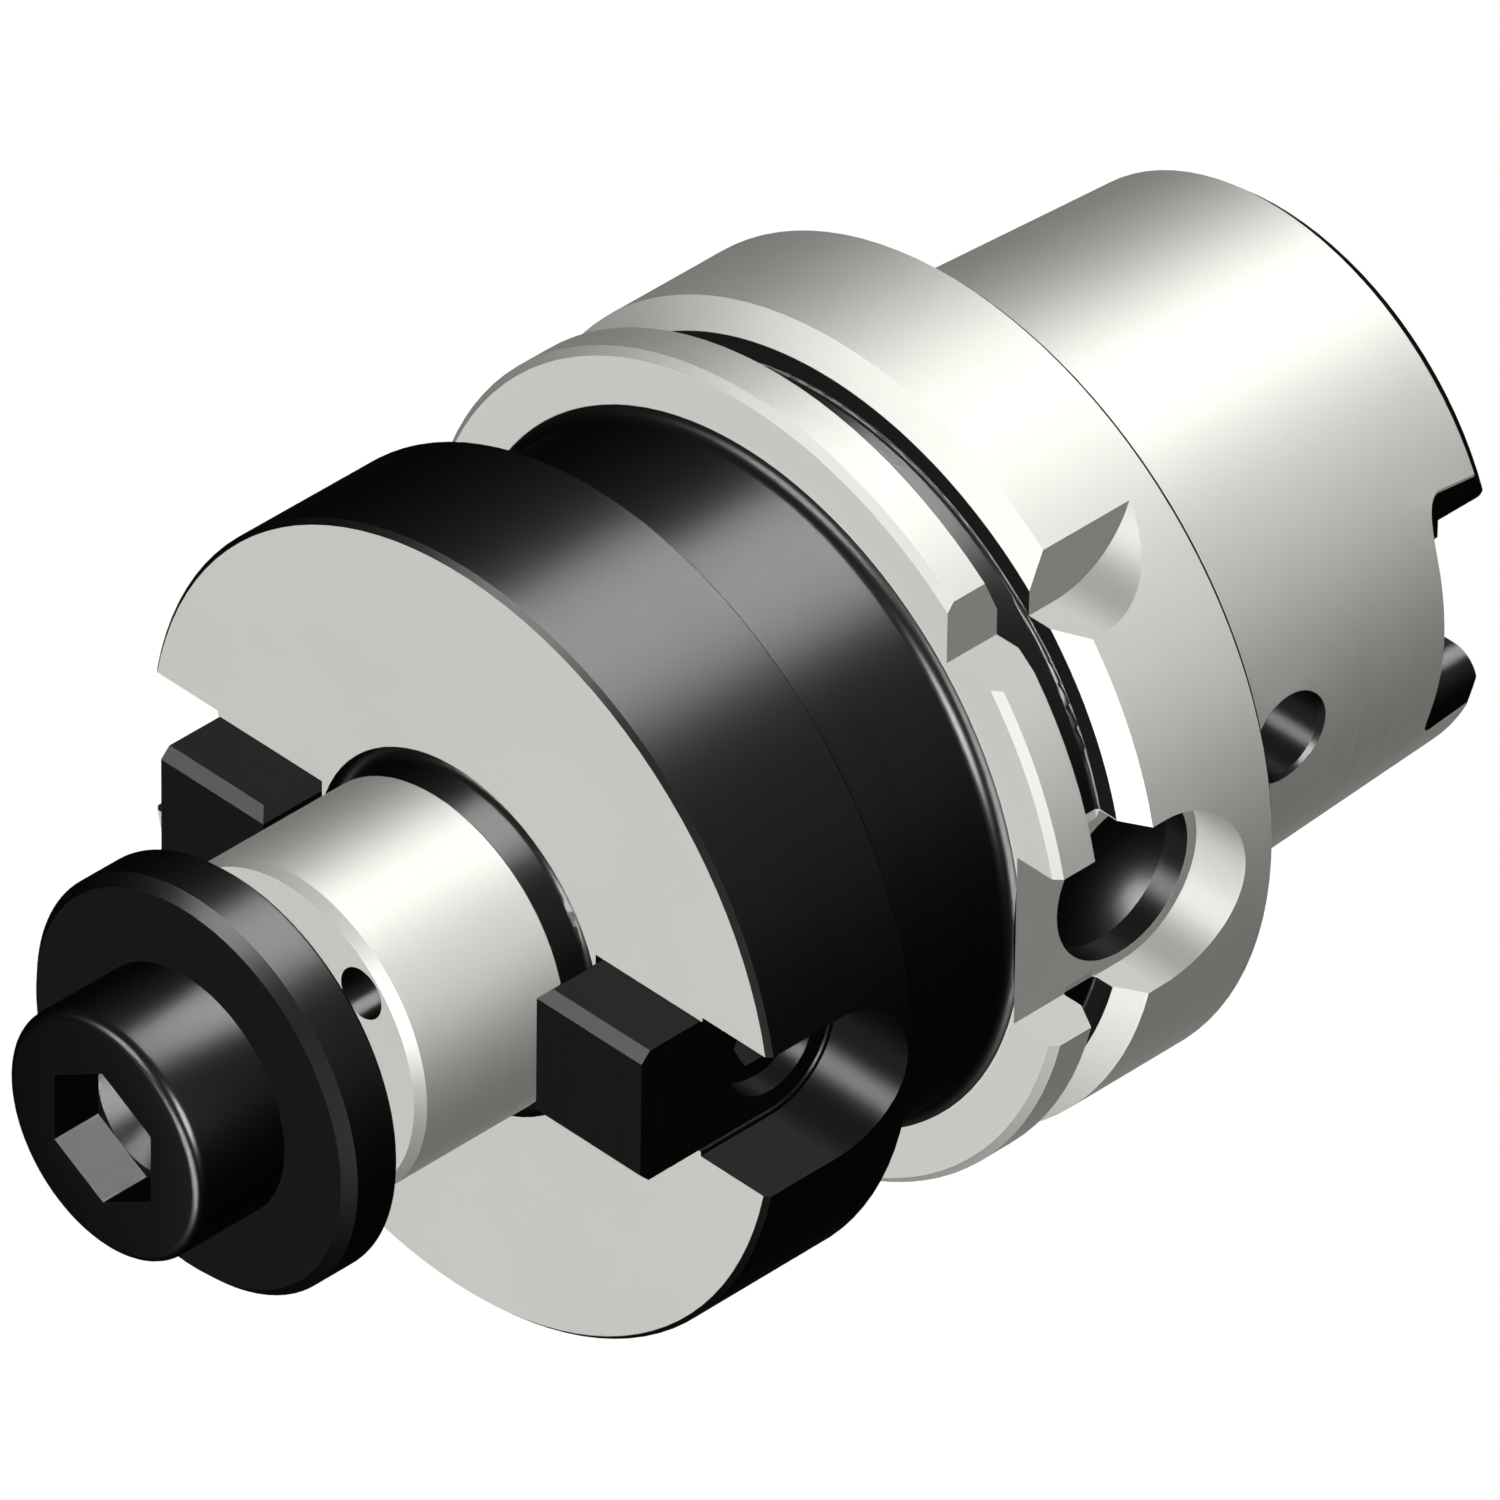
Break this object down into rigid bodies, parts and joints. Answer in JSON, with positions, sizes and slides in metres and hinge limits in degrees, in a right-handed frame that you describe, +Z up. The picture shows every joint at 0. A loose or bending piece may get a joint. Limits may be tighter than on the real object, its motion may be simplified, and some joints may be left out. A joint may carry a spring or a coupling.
{
  "type": "shell mill holder",
  "caption": "Shell mill holder with a hollow taper shank, grooved flange, driving collar, centring pilot and a clamp screw with its disc.",
  "frame": {"origin": "centre of the flange's contact face, on the tool axis", "axes": "+X along the tool axis towards the cutter, +Y through the shallow keyway and one drive key, +Z up, square to both"},
  "size_m": [0.142, 0.08, 0.08],
  "materials": {
    "holder_steel": "ground bright on the shank, flange, seat and pilot, black oxide on the neck and collar",
    "black_oxide_steel": "black oxide, satin",
    "black_screw_steel": "black oxide, satin",
    "stainless_steel": "turned",
    "seal_rubber": "matt"
  },
  "bodies": {
    "holder": {"holder_body": "holder_steel", "drive_key_right": "black_oxide_steel", "drive_key_left": "black_oxide_steel", "key_screw_right": "black_screw_steel", "key_screw_left": "black_screw_steel", "tube_union_nut": "stainless_steel"},
    "disc": {"clamp_disc": "black_oxide_steel"},
    "screw": {"clamp_screw": "black_screw_steel"},
    "floating_tube": {"coolant_tube": "stainless_steel", "tube_ring_front": "seal_rubber", "tube_ring_rear": "seal_rubber"}
  },
  "joints": [
    {"name": "clamp_disc_travel", "type": "slide", "parent": "holder", "child": "disc", "axis": [1, 0, 0], "range_m": [-0.006, 0.024]},
    {"name": "clamp_screw_turn", "type": "hinge", "parent": "disc", "child": "screw", "pos_m": [0.092, 0, 0], "axis": [1, 0, 0], "range_deg": [-1080, 4320]},
    {"name": "coolant_tube_float", "type": "hinge", "parent": "holder", "child": "floating_tube", "pos_m": [0.0269, 0, 0], "axis": [0, 0, 1], "range_deg": [-1, 1], "stiffness_Nm_per_rad": 5}
  ],
  "couplings": [
    {"joint": "clamp_screw_turn", "follows": "clamp_disc_travel", "rad_per_m": 3141.6}
  ]
}
